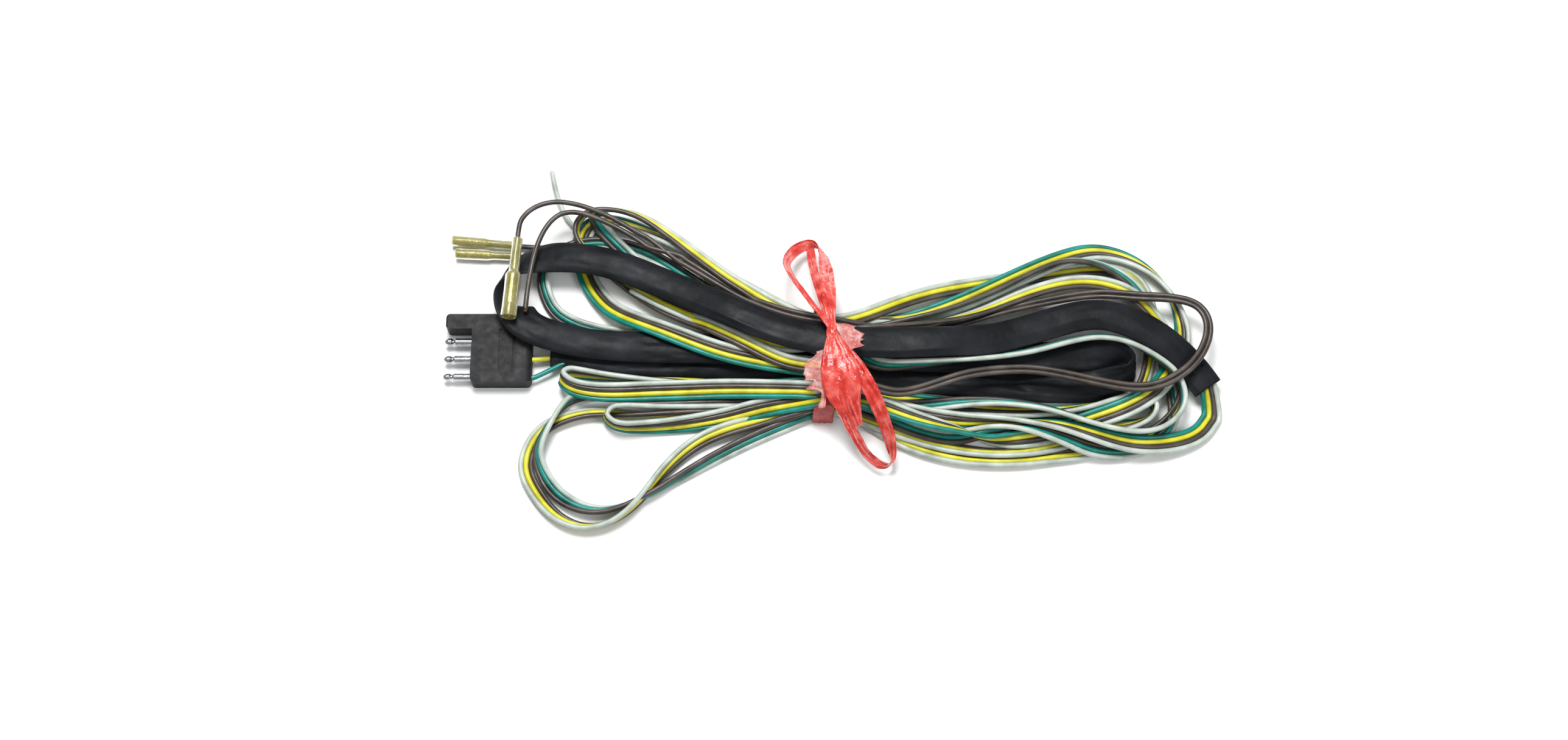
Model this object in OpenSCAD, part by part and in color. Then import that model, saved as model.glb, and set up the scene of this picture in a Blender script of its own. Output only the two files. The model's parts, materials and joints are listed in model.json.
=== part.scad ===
// Four-way flat trailer wiring harness, tied up as a hank.
// Millimetres, +Z up. The origin is under the middle of the connector, on the
// surface that the harness lies on. Contacts point along -X, wires leave along +X.

/* [Connector body] */
// Length of the moulded block, front face to rear face
body_l = 33; // [31:0.5:36]
// Width of the moulded block
body_w = 39; // [38:0.5:42]
// Thickness of the moulded block
body_t = 11; // [10.5:0.5:13]
// Plan radius of the block's corners
body_corner_r = 2.5; // [1.5:0.1:3.5]
// Radius along the front and long edges
edge_r = 1.2; // [0.8:0.1:2]
// Radius along the rear edges
rear_edge_r = 4; // [3:0.1:5]
// Length of the shroud in front of the block
shroud_l = 14.5; // [13:0.5:16]
// Width of the shroud
shroud_w = 8.5; // [8.4:0.1:9.5]
// Length of the two finger grooves across the top
groove_l = 26; // [20:1:28]
// Width of a finger groove
groove_w = 1.6; // [1.2:0.1:2]

/* [Contacts] */
// Spacing between neighbouring contacts
pitch = 10.16; // [10.1:0.02:10.2]
// Radius of a bullet pin
pin_r = 2; // [1.9:0.05:2.1]
// Length of pin in front of the block
pin_out = 15.3; // [15:0.1:16]
// Radius of the latching neck behind a pin's tip
neck_r = 1.45; // [1.3:0.05:1.6]
// Bore radius of the shrouded socket
socket_r = 2.05; // [2.03:0.01:2.09]
// Wall of the socket and of the crimp barrels
barrel_wall = 0.45; // [0.4:0.05:0.5]

/* [Wires] */
// Diameter of one insulated wire
wire_d = 2.8; // [2.6:0.1:3]
// Width of the flattened sleeve
sleeve_w = 18; // [16:0.5:19]
// Thickness of the flattened sleeve
sleeve_t = 5.5; // [5:0.1:6]

/* [Bullet receptacles] */
// Barrel bore radius of the two small receptacles
small_bore_r = 2.05; // [2.03:0.01:2.09]
// Barrel bore radius of the large receptacle
large_bore_r = 3.2; // [3.1:0.01:3.3]
// Wall of a vinyl insulator
vinyl_wall = 0.6; // [0.5:0.05:0.7]
// Radial gap between an insulator and its receptacle
vinyl_gap = 0.08; // [0.04:0.01:0.1]
// How far an insulator slides over its receptacle
vinyl_travel = 7.5; // [6:0.5:8]

/* [Tie] */
// Width of the film band round the bundle
band_w = 15; // [12:1:18]
// Thickness of the gathered film
film_t = 1.2; // [1:0.1:1.5]

/* [Hidden] */

$fn = 48;
eps = 0.01;
// How far a cutting shape runs past the face that it opens
over = 1;

// Connector, from front to rear along X
front_x = (pin_out - body_l) / 2;
rear_x = front_x + body_l;
axis_z = body_t / 2;
contact_y = [1.5, 0.5, -0.5, -1.5] * pitch;
socket_recess = 1.5;
socket_l = 14;
carrier_x = [front_x + 3, front_x + 19];
carrier_w = 36;
carrier_t = 6.4;
flange_x = front_x + 6;
flange_l = 1.4;
flange_r = 2.7;
root_r = 2.4;
crimp_r = 1.9;
wire_r = wire_d / 2;
copper_r = 0.95;
strip_l = 5;
mouth_x = 34;
mouth_gap = 0.3;
mouth_pitch = 4;
shroud_x = front_x - shroud_l;
groove_x = [front_x + 15.8, front_x + 23.3];
groove_y = -2;
groove_deep = 1;

// Receptacles: [mouth x, y, z, heading, rise] of the axis, from mouth to wire
place_a = [-23.2, 66, 3.8, -5, 0];
place_b = [-21, 58.2, 3.8, -3, 0];
place_c = [12.4, 12.6, 24, 86, 0.5];
crimp_barrel_r = wire_r + barrel_wall;
crimp_l = 8;
neck_l = 2;
step_gap = 0.3;
// [bore radius, barrel length, shell length, metal's depth behind the mouth, narrow inner radius]
small_kind = [small_bore_r, 10.5, 36, 0.5, 1.95];
large_kind = [large_bore_r, 17, 46, vinyl_travel, 2.25];
lead_straight = 7;

// Routes are [x, y, z, roll]. Roll 0 lies flat, 90 stands on edge.
sleeve_route = [
  [mouth_x, -0.5, 5.5, 0], [40, -0.5, 5.5, 0], [52, -3, 6, 0], [68, -5, 6, 0],
  [95, -6, 6, 0], [118, -6.5, 5.4, 0], [140, -7, 4.2, 0], [165, -8, 4.2, 0],
  [200, -10, 4.2, 0],
  [235, -15, 3, 0], [270, -18, 3, 0], [302, -20.5, 3, 0], [326, -20.5, 4.5, 12],
  [342, -18, 8, 40], [350, -11, 9.5, 80], [346, -5, 9.5, 115], [333, -3.5, 8.8, 150],
  [308, -5, 9.2, 176], [275, -6, 9.5, 180], [235, -5, 9.5, 182], [200, -3, 9.9, 180],
  [165, 0, 9.9, 180], [140, -1, 10, 180],
  [118, -1, 11.2, 180], [95, -0.5, 11.9, 180], [65, 0.5, 12.2, 180], [47, 3, 13, 180],
  [32, 6.5, 15, 180], [19, 12, 15.4, 188], [10, 22, 14.6, 225], [6, 33, 11, 265],
  [11, 44, 11, 305], [22, 50, 12.5, 338], [36, 51, 15.6, 357], [50, 50, 16.4, 360],
  [66, 47, 16.4, 360], [84, 40, 16.6, 360], [106, 30, 17.5, 360], [122, 22, 21, 360],
  [137, 14, 24, 360], [162, 4, 23.7, 360], [190, -1, 23.6, 360], [220, -2, 23.6, 360],
  [248, -1, 23.2, 360], [274, 2, 18.5, 360], [300, 10, 16.4, 360], [325, 17, 16.4, 360],
  [343, 15, 16.4, 360], [358, 8, 16, 360], [371, -1, 14, 360], [382, -12, 11, 360],
  [390, -23, 9, 360]
];
stray_route = [
  [58, -34, 7, 0], [46, -38, 7, 0], [36, -45, 7, 20], [28, -55, 7, 40], [24, -67, 7, 50],
  [27, -80, 7, 45], [36, -91, 6, 30], [50, -98, 5, 10], [64, -96, 5, 10],
  [78, -87, 6, 25], [92, -75, 6, 35], [108, -61, 6, 30], [124, -49, 6, 15],
  [138, -40, 6, 0], [146, -35, 6, 0]
];
brown_route = [
  [214, -26, 22.5], [238, -24, 22.6], [258, -18, 19.5], [280, -14, 17.5], [302, -15, 17],
  [324, -20, 17], [346, -25, 17], [362, -24, 18], [378, -15, 19], [388, -2, 19],
  [390, 10, 19], [384, 21, 18.5], [370, 28, 17.5], [354, 31, 16], [338, 35, 14.6]
];
outer_route = [
  [16.1, 65.5, 24.5], [17.6, 70.5, 24.6], [22, 75.5, 24.4], [28, 79, 24], [36, 81, 23],
  [45, 80.5, 21.5], [55, 78, 20], [66, 73.5, 18.5], [77, 67.5, 16.5], [88, 61.5, 14.6]
];
inner_route = [
  [20.8, 18, 19.5], [21.4, 28, 20], [23.2, 42, 21], [26, 56, 21], [30.6, 67, 21],
  [38, 75, 20.6], [49, 76, 19.4], [62, 71.4, 18], [76, 64.4, 16], [88, 56.5, 14.6]
];
lead_a_route = [
  [10, 63.1, 3.8], [20, 62.2, 3.8], [29, 62, 3.8], [38, 63, 3.8], [50, 65, 3.8]
];
lead_b_route = [
  [13, 56.4, 3.8], [22, 56, 3.6], [31, 56.5, 3.4], [40, 58, 3.8], [50, 60, 3.8]
];
ground_route = [
  [31, 106, 9], [33, 97, 7], [36, 88, 5.5], [40, 80, 4.5], [46, 73.5, 3.6], [54, 70, 3.4]
];
bow_upper_route = [
  [185, 4, 32, 60], [177, 14, 33, 70], [169, 27, 31, 80], [164, 39, 26, 85],
  [163, 48, 20, 90], [167, 57, 13, 90], [175, 62, 9, 90], [181, 57, 11, 90],
  [184, 44, 19, 80], [185, 30, 27, 60], [186, 16, 33, 50], [188, 6, 32, 60]
];
bow_lower_route = [
  [188, -3, 32, 60], [188, -16, 33, 60], [189, -29, 33, 70], [194, -42, 28, 80],
  [201, -55, 14, 90], [209, -65, 7, 90], [217, -68, 6, 90], [219, -60, 11, 80],
  [213, -47, 22, 70], [207, -33, 30, 60], [200, -19, 32, 50], [191, -5, 32, 60]
];

// Section of the two ribbons that make the stray loop
stray_w = 11;
stray_t = 8;

// Outer shapes of the folded wire groups: plan outlines inside their round corners
hank_round = 5;
north_left = [
  [54, 62], [58, 76], [72, 78], [96, 66], [124, 47], [148, 31], [150, 22],
  [120, 19], [92, 21], [66, 30], [50, 46]
];
south_left = [[50, -31], [54, -24], [150, -26], [150, -33], [100, -39], [72, -39]];
waist = [
  [160, 20], [178, 11], [206, 11], [236, 20], [236, -34], [206, -30], [178, -30],
  [144, -30], [140, -22], [140, 20]
];
north_right = [
  [236, 25], [262, 37], [296, 52], [328, 55], [352, 46], [366, 28], [352, 22],
  [338, 26], [300, 26], [262, 21], [240, 21]
];
south_right = [
  [236, -36], [262, -39], [300, -41], [335, -40], [358, -31], [372, -26], [379, -36],
  [366, -46], [330, -52], [280, -55], [240, -48]
];
hank_z = [0, 13];
waist_z = [13, 20.5];

// Tie: the bundle's section at the band
band_x = 179;
band_y = [-38, 20];
band_z = [0, 28];
band_r = 7;
knot_place = [187, 0, 30.5];
knot_r = 5;
bow_w = 6;

function unit(v) = v / norm(v);
function xyz(p) = [p[0], p[1], p[2]];
function roll_of(p) = len(p) > 3 ? p[3] : 0;

// Catmull-Rom point at u between b and c
function blend4(a, b, c, d, u) =
  (2 * b + (c - a) * u + (2 * a - 5 * b + 4 * c - d) * u * u
    + (3 * b - a - 3 * c + d) * u * u * u) / 2;

function smooth(r, steps) = concat(
  [for (i = [0:len(r) - 2], k = [0:steps - 1])
    blend4(r[max(i - 1, 0)], r[i], r[i + 1], r[min(i + 2, len(r) - 1)], k / steps)],
  [r[len(r) - 1]]
);

// One ring of an oval section, w wide and t thick, square to the route at point i
function ring(r, i, w, t, sides) =
  let (
    ahead = unit(xyz(r[min(i + 1, len(r) - 1)]) - xyz(r[max(i - 1, 0)])),
    level = unit(cross([0, 0, 1], ahead)),
    roll = roll_of(r[i]),
    side = level * cos(roll) + cross(ahead, level) * sin(roll),
    face = cross(ahead, side)
  )
  [for (k = [0:sides - 1])
    let (a = 360 * (k + 0.5) / sides)
    xyz(r[i]) + side * cos(a) * w / 2 + face * sin(a) * t / 2];

module tube(route, w, t, sides, steps) {
  r = smooth(route, steps);
  rings = len(r);
  points = [for (i = [0:rings - 1]) each ring(r, i, w, t, sides)];
  walls = [for (i = [0:rings - 2], k = [0:sides - 1])
    let (a = i * sides, b = (k + 1) % sides)
    each [[a + k, a + sides + k, a + sides + b], [a + k, a + sides + b, a + b]]];
  first_cap = [for (k = [0:sides - 1]) k];
  last_cap = [for (k = [sides - 1:-1:0]) (rings - 1) * sides + k];
  polyhedron(points, concat(walls, [first_cap, last_cap]), convexity = 12);
}

module round_wire(route, steps = 1) tube(route, wire_d, wire_d, 8, steps);

// Turned about X: profile points are [distance along X, radius]
module turned(profile) rotate([0, 90, 0]) rotate([0, 0, 180])
  rotate_extrude() polygon([for (p = profile) [p[1], p[0]]]);

module rod(x, r) translate([x[0], 0, 0]) rotate([0, 90, 0]) cylinder(h = x[1] - x[0], r = r);

module at_contact(i) translate([0, contact_y[i], axis_z]) children();

module rounded_rect(x, y, r) {
  translate([x[0] + r, y[0]]) square([x[1] - x[0] - 2 * r, y[1] - y[0]]);
  translate([x[0], y[0] + r]) square([x[1] - x[0], y[1] - y[0] - 2 * r]);
  for (cx = [x[0] + r, x[1] - r], cy = [y[0] + r, y[1] - r]) translate([cx, cy]) circle(r);
}

// Side view of the block: small radii in front, large ones at the rear
module side_profile() {
  translate([shroud_x + edge_r, 0]) square([rear_x - shroud_x - edge_r - rear_edge_r, body_t]);
  translate([shroud_x, edge_r]) square([body_l, body_t - 2 * edge_r]);
  translate([front_x, rear_edge_r]) square([body_l, body_t - 2 * rear_edge_r]);
  for (z = [edge_r, body_t - edge_r]) translate([shroud_x + edge_r, z]) circle(edge_r);
  for (z = [rear_edge_r, body_t - rear_edge_r]) translate([rear_x - rear_edge_r, z])
    circle(rear_edge_r);
}

module plan_profile() {
  rounded_rect([front_x, rear_x], [-body_w / 2, body_w / 2], body_corner_r);
  rounded_rect([shroud_x, front_x + 2 * body_corner_r],
    [contact_y[0] - shroud_w / 2, contact_y[0] + shroud_w / 2], body_corner_r);
}

module pin_shape() turned([
  [front_x - pin_out, 0], [front_x - pin_out + 0.3, 1], [front_x - pin_out + 1, 1.6],
  [front_x - pin_out + 2, pin_r], [front_x - pin_out + 3.7, pin_r],
  [front_x - pin_out + 4.5, neck_r], [front_x - pin_out + 5.2, neck_r],
  [front_x - pin_out + 6.1, pin_r], [front_x, pin_r], [front_x, root_r],
  [flange_x, root_r], [flange_x, flange_r],
  [flange_x + flange_l, flange_r], [flange_x + flange_l, crimp_r],
  [carrier_x[1], crimp_r], [carrier_x[1], 0]
]);

module socket_shape() {
  outer_r = socket_r + barrel_wall;
  turned([
    [shroud_x + socket_recess, 0], [shroud_x + socket_recess, outer_r],
    [flange_x, outer_r], [flange_x, flange_r], [flange_x + flange_l, flange_r],
    [flange_x + flange_l, crimp_r], [carrier_x[1], crimp_r], [carrier_x[1], 0]
  ]);
}

// The stripped copper ends inside each crimp
module copper_end() rod([carrier_x[1] - strip_l, carrier_x[1]], copper_r);

module carrier_block() translate([carrier_x[0], -carrier_w / 2, axis_z - carrier_t / 2])
  cube([carrier_x[1] - carrier_x[0], carrier_w, carrier_t]);

module finger_groove(x) translate([x, groove_y, body_t]) {
  reach = groove_l / 2 - groove_w / 2;
  translate([-groove_w / 2, -reach, -groove_deep]) cube([groove_w, 2 * reach, 2 * groove_deep]);
  for (y = [-reach, reach]) translate([0, y, -groove_deep])
    cylinder(h = 2 * groove_deep, d = groove_w);
}

module connector_body() color([0.1, 0.1, 0.11]) difference() {
  intersection() {
    linear_extrude(body_t) plan_profile();
    translate([0, body_w, 0]) rotate([90, 0, 0]) linear_extrude(2 * body_w) side_profile();
  }
  carrier_block();
  for (i = [1:3]) at_contact(i) rod([front_x - over, carrier_x[0] + over], root_r);
  at_contact(0) rod([shroud_x - over, carrier_x[0] + over], socket_r + barrel_wall);
  for (i = [0:3]) at_contact(i) rod([carrier_x[1] - over, rear_x + over], wire_r);
  for (x = groove_x) finger_groove(x);
}

module terminal_carrier() color([0.16, 0.16, 0.17]) difference() {
  carrier_block();
  for (i = [1:3]) at_contact(i) pin_shape();
  at_contact(0) socket_shape();
}

module pin(i) color([0.8, 0.81, 0.83]) at_contact(i) difference() {
  pin_shape();
  copper_end();
}

module pin_brown() pin(1);
module pin_yellow() pin(2);
module pin_green() pin(3);

module socket_terminal() color([0.75, 0.74, 0.7]) at_contact(0) difference() {
  socket_shape();
  rod([shroud_x, shroud_x + socket_recess + socket_l], socket_r);
  copper_end();
}

// A wire from its crimp, out of the block's rear and into the sleeve's mouth
module rear_wire(i) {
  y = contact_y[i];
  mouth_y = sleeve_route[0][1] + y * mouth_pitch / pitch;
  at_contact(i) {
    copper_end();
    rod([carrier_x[1], rear_x], wire_r);
  }
  round_wire([
    [rear_x, y, axis_z], [rear_x + 1.2, y, axis_z],
    [(rear_x + mouth_x) / 2, (y + mouth_y) / 2, axis_z],
    [mouth_x - mouth_gap - 1.2, mouth_y, axis_z], [mouth_x - mouth_gap, mouth_y, axis_z]
  ]);
}

module wire_white() color([0.85, 0.86, 0.82]) rear_wire(0);
module wire_brown() color([0.29, 0.24, 0.21]) rear_wire(1);
module wire_yellow() color([0.86, 0.8, 0.1]) rear_wire(2);
module wire_green() color([0.02, 0.42, 0.35]) rear_wire(3);

module sleeve() color([0.08, 0.08, 0.09]) tube(sleeve_route, sleeve_w, sleeve_t, 10, 1);

module wire_group(outline, z) color([0.55, 0.55, 0.48]) translate([0, 0, z[0]])
  linear_extrude(z[1] - z[0]) offset(r = hank_round, $fn = 24) polygon(outline);

module hank_left_north() wire_group(north_left, hank_z);
module hank_left_south() wire_group(south_left, hank_z);
module hank_waist() wire_group(waist, waist_z);
module hank_right_north() wire_group(north_right, hank_z);
module hank_right_south() wire_group(south_right, hank_z);

module stray_loop() color([0.8, 0.8, 0.7]) tube(stray_route, stray_w, stray_t, 8, 1);
module brown_loop() color([0.3, 0.25, 0.22]) tube(brown_route, 2 * wire_d, wire_d, 8, 1);

module placed(place) translate([place[0], place[1], place[2]])
  rotate([0, -place[4], place[3]]) children();

// Where the metal's crimp ends, measured from the shell's mouth
function metal_end(kind) = kind[3] + kind[1] + neck_l + crimp_l;

// The lead inside a shell: stripped in the crimp, then whole and straight past the shell
module lead_end(kind, past) {
  rod([metal_end(kind) - strip_l, metal_end(kind)], copper_r);
  rod([metal_end(kind), kind[2] + past], wire_r);
}

module lead_outer() color([0.3, 0.25, 0.22]) {
  placed(place_c) lead_end(large_kind, lead_straight);
  round_wire(outer_route);
}
module lead_inner() color([0.35, 0.3, 0.27]) round_wire(inner_route);
module lead_a() color([0.3, 0.25, 0.22]) {
  placed(place_a) lead_end(small_kind, 0);
  round_wire(lead_a_route);
}
module lead_b() color([0.3, 0.25, 0.22]) {
  placed(place_b) lead_end(small_kind, 0);
  round_wire(lead_b_route);
}
module ground_wire() color([0.85, 0.86, 0.82]) round_wire(ground_route);

// Female bullet: a barrel with a bore, a neck and a wire crimp
module receptacle(kind, place) color([0.78, 0.76, 0.68]) placed(place) difference() {
  outer_r = kind[0] + barrel_wall;
  rear = kind[3] + kind[1];
  turned([
    [kind[3], 0], [kind[3], outer_r], [rear, outer_r], [rear, copper_r + barrel_wall],
    [rear + neck_l, copper_r + barrel_wall], [rear + neck_l, crimp_barrel_r],
    [metal_end(kind), crimp_barrel_r], [metal_end(kind), 0]
  ]);
  rod([kind[3] - over, rear - barrel_wall * 2], kind[0]);
  rod([metal_end(kind) - strip_l, metal_end(kind) + over], copper_r);
}

// Vinyl shell: wide over the barrel and its travel, narrow over the crimp and lead
module insulator(kind, place) color([0.6, 0.58, 0.3, 0.7]) placed(place) difference() {
  wide_r = kind[0] + barrel_wall + vinyl_gap;
  step = kind[1] + vinyl_travel + step_gap + min(kind[3], step_gap);
  union() {
    rod([0, step + vinyl_wall], wide_r + vinyl_wall);
    rod([step, kind[2]], kind[4] + vinyl_wall);
  }
  rod([-over, step], wide_r);
  rod([step - eps, kind[2] + over], kind[4]);
}

module receptacle_a() receptacle(small_kind, place_a);
module receptacle_b() receptacle(small_kind, place_b);
module receptacle_c() receptacle(large_kind, place_c);
module insulator_a() insulator(small_kind, place_a);
module insulator_b() insulator(small_kind, place_b);
module insulator_c() insulator(large_kind, place_c);

module band_outline(inset) rounded_rect(
  [band_y[0] + inset, band_y[1] - inset], [band_z[0] + inset, band_z[1] - inset], band_r - inset);

module across_band(inset) translate([band_x, 0, 0]) rotate([90, 0, 90])
  linear_extrude(band_w) band_outline(inset);

module tie_band() color([0.85, 0.12, 0.1]) difference() {
  across_band(0);
  translate([-over, 0, 0]) across_band(film_t);
  translate([over, 0, 0]) across_band(film_t);
}

module tie_knot() color([0.85, 0.12, 0.1]) difference() {
  translate(knot_place) sphere(knot_r);
  across_band(0);
}

module tie_bow_upper() color([0.88, 0.2, 0.18]) tube(bow_upper_route, bow_w, film_t, 8, 2);
module tie_bow_lower() color([0.88, 0.2, 0.18]) tube(bow_lower_route, bow_w, film_t, 8, 2);

connector_body();
terminal_carrier();
socket_terminal();
pin_brown();
pin_yellow();
pin_green();
wire_white();
wire_brown();
wire_yellow();
wire_green();
sleeve();
hank_left_north();
hank_left_south();
hank_waist();
hank_right_north();
hank_right_south();
stray_loop();
brown_loop();
lead_outer();
lead_inner();
lead_a();
lead_b();
ground_wire();
receptacle_a();
receptacle_b();
receptacle_c();
insulator_a();
insulator_b();
insulator_c();
tie_band();
tie_knot();
tie_bow_upper();
tie_bow_lower();
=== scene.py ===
"""Four-way flat trailer wiring harness, tied up as a hank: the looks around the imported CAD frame."""
import json
import math
import bpy
import bmesh
import numpy as np
from mathutils import Euler, Matrix, Vector, noise


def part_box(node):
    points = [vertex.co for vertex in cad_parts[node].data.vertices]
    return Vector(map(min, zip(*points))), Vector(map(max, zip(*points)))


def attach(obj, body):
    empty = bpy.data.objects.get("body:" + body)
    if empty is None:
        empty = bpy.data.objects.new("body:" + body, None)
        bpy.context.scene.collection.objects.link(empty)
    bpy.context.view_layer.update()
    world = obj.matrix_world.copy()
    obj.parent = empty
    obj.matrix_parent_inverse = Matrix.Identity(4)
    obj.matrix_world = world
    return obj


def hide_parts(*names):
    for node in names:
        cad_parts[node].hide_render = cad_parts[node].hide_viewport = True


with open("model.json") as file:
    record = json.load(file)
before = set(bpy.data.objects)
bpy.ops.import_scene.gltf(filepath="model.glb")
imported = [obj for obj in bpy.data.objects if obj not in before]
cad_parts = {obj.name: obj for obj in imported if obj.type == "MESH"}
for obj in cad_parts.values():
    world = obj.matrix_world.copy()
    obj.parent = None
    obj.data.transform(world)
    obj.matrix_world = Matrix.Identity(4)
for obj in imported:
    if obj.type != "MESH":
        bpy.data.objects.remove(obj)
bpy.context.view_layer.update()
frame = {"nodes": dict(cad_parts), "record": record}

MM = 0.001
HARNESS = "harness"
MOUNTS = {mount["name"]: mount for mount in frame["record"]["mounts"]}


def box_mm(node):
    """A CAD node's lowest and highest corners, in millimetres."""
    return np.round(np.array(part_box(node)) / MM, 2)


# ---------------------------------------------------------------- camera
AIM = Vector((161, -12, 8)) * MM
CAMERA_RISE = math.radians(70)
CAMERA_FAR = 1.2
VIEW_WIDTH = 0.85

camera_data = bpy.data.cameras.new("camera")
camera = bpy.data.objects.new("camera", camera_data)
bpy.context.scene.collection.objects.link(camera)
camera.location = AIM + Vector((0, -math.cos(CAMERA_RISE), math.sin(CAMERA_RISE))) * CAMERA_FAR
camera.rotation_euler = (math.pi / 2 - CAMERA_RISE, 0, 0)
camera_data.sensor_width = 36
camera_data.lens = 36 * CAMERA_FAR / VIEW_WIDTH
bpy.context.scene.camera = camera
bpy.context.scene.view_settings.view_transform = "Standard"

# ---------------------------------------------------------------- routes
# A route point is (x, y, z, roll): millimetres and degrees. At roll 0 the flat wire lies
# flat with its first conductor on the left of its heading, and at 90 that one is on top.
WIRE_D = 2.8
SLEEVE_W, SLEEVE_T = 18.0, 5.5

SLEEVE = [
    (34, -0.5, 5.5, 0), (40, -0.5, 5.5, 0), (52, -3, 6, 0), (68, -5, 6, 0), (95, -6, 6, 0),
    (118, -6.5, 5.4, 0), (140, -7, 4.2, 0), (165, -8, 4.2, 0), (200, -10, 4.2, 0),
    (235, -15, 3, 0), (270, -18, 3, 0), (302, -20.5, 3, 0), (326, -20.5, 4.5, 12),
    (342, -18, 8, 40), (350, -11, 9.5, 80), (346, -5, 9.5, 115), (333, -3.5, 8.8, 150),
    (308, -5, 9.2, 176), (275, -6, 9.5, 180), (235, -5, 9.5, 182), (200, -3, 9.9, 180),
    (165, 0, 9.9, 180), (140, -1, 10, 180), (118, -1, 11.2, 180), (95, -0.5, 11.9, 180),
    (65, 0.5, 12.2, 180), (47, 3, 13, 180), (32, 6.5, 15, 180), (19, 12, 15.4, 188),
    (10, 22, 14.6, 225), (6, 33, 11, 265), (11, 44, 11, 305), (22, 50, 12.5, 338),
    (36, 51, 15.6, 357), (50, 50, 16.4, 360), (66, 47, 16.4, 360), (84, 40, 16.6, 360),
    (106, 30, 17.5, 360), (122, 22, 21, 360), (137, 14, 24, 360), (162, 4, 23.7, 360),
    (190, -1, 23.6, 360), (220, -2, 23.6, 360), (248, -1, 23.2, 360), (274, 2, 18.5, 360),
    (300, 10, 16.4, 360), (325, 17, 16.4, 360), (343, 15, 16.4, 360), (358, 8, 16, 360),
    (371, -1, 14, 360), (382, -12, 11, 360), (390, -23, 9, 360),
]
# Four conductors out of the sleeve's cut end, folded three times across the hank
TRUNK = [
    (390, -23, 9, 180), (393, -30, 7, 180), (390, -39, 5, 180), (382, -47, 4, 180),
    (366, -52, 4, 180), (348, -53, 5, 190), (328, -49, 6, 220), (308, -45, 8, 260),
    (280, -43, 9, 275), (250, -44, 10, 290), (220, -38, 12, 320), (188, -29, 15, 335),
    (160, -26, 14, 340), (130, -24, 11, 350), (98, -25, 10, 360), (70, -26, 9, 360),
    (52, -24, 8, 345), (43, -19, 7, 315), (41, -13, 5, 300), (48, -11, 3, 320),
    (64, -11, 1.5, 350), (86, -12, 1.5, 360), (112, -14, 1.5, 360), (145, -18, 4, 360),
    (188, -21, 8, 360), (216, -27, 5, 360), (250, -31, 2, 360), (290, -34, 2, 360),
    (322, -31, 2, 360), (346, -25, 2, 350), (360, -27, 3, 300), (361, -36, 3, 270),
    (348, -43, 3, 240), (322, -45, 2, 190), (290, -43, 2, 180), (250, -38, 2, 180),
    (216, -31, 4, 180), (188, -28, 6, 180), (148, -28, 4, 180), (116, -29, 4, 180),
    (86, -30, 4, 180), (70, -32, 4, 190), (65, -37, 4, 200), (71, -43, 4, 195),
    (86, -43, 4, 180), (106, -41, 4, 180), (130, -37, 5, 180), (154, -32, 9, 180),
    (188, -29, 19, 180), (208, -32, 18, 180), (230, -40, 15, 180), (254, -46, 11, 170),
    (276, -51, 8, 60), (300, -48, 6, 0), (326, -39, 5, 0), (346, -32, 5, 0),
    (361, -23, 5, -40), (372, -9, 5, -90), (378, 8, 6, -130), (376, 26, 7, -160),
    (368, 42, 8, -180), (353, 54, 9, -180), (333, 59, 10, -180), (312, 53, 11, -180),
    (288, 42, 12, -180), (260, 28, 13, -175), (232, 17, 14, -160), (208, 13, 14, -130),
    (188, 13, 15, -100), (168, 22, 14, -90), (145, 37, 11, -90), (121, 51, 9, -95),
    (98, 65, 8, -110), (77, 74, 7, -130), (62, 78, 6, -150), (52, 75, 6, -180),
    (48, 65, 5, -190), (50, 50, 4, -190), (55, 38, 4, -180), (64, 26, 6, -180),
    (78, 16, 12, -180), (98, 7, 16, -180), (125, -3, 16, -180), (155, -9, 15.5, -180),
    (184, -12, 15, -180),
]
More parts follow.
